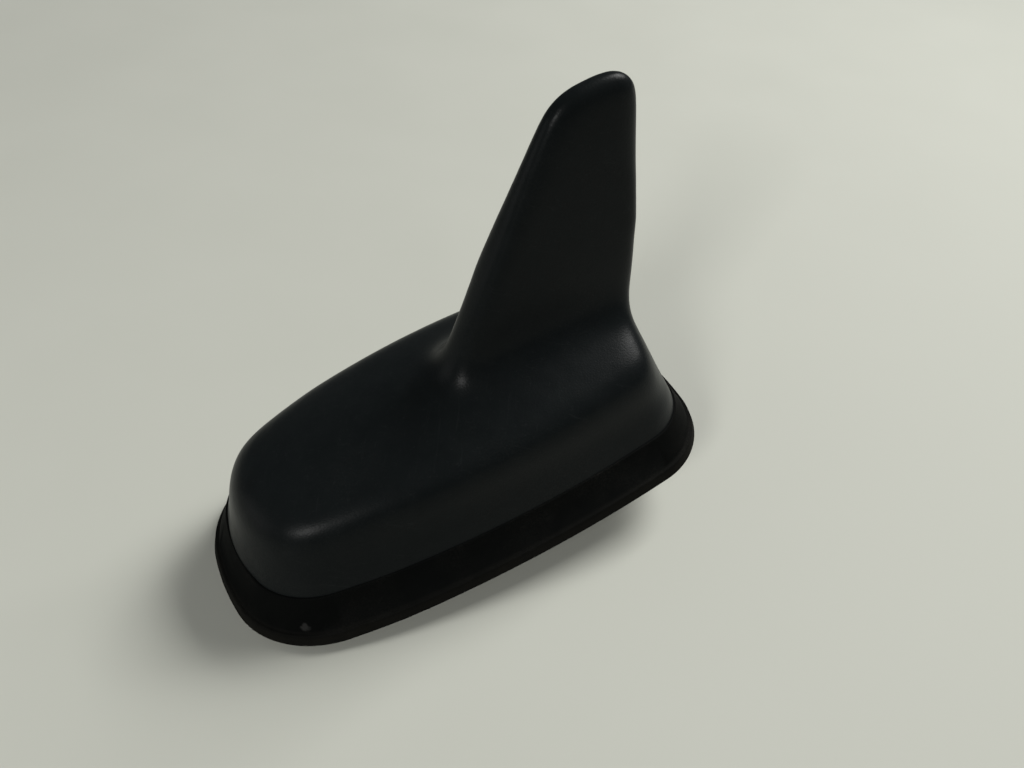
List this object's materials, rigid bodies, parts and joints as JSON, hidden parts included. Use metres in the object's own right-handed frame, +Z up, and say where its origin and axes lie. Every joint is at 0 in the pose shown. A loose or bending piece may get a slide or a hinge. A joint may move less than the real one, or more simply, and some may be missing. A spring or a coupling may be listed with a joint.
{
  "type": "car roof fin antenna",
  "caption": "Black roof antenna with a tall swept fin on a low rounded pod, a rubber skirt round its foot, a cast base and a hollow stud that fixes it through a car roof.",
  "frame": {"origin": "on the stud's axis, in the plane where the gasket sits on the roof", "axes": "+X towards the nose, +Y to the left, +Z up out of the roof"},
  "size_m": [0.12, 0.062, 0.1006],
  "materials": {
    "cover": "fine moulded grain, matte black",
    "gasket": "matte black rubber",
    "base_plate": "as cast",
    "stud": "zinc plated",
    "cover_seal": "matte",
    "cover_screws": "zinc plated",
    "main_board": "green solder mask",
    "board_screws": "zinc plated",
    "gps_patch": "fired ceramic",
    "patch_pin": "plated",
    "shield_can": "tinned sheet",
    "fin_holder": "moulded",
    "fin_board": "green solder mask"
  },
  "bodies": {
    "root": {"cover": "cover", "gasket": "gasket", "base_plate": "base_plate", "stud": "stud", "cover_seal": "cover_seal", "cover_screws": "cover_screws", "main_board": "main_board", "board_screws": "board_screws", "gps_patch": "gps_patch", "patch_pin": "patch_pin", "shield_can": "shield_can", "fin_holder": "fin_holder", "fin_board": "fin_board"}
  },
  "joints": []
}
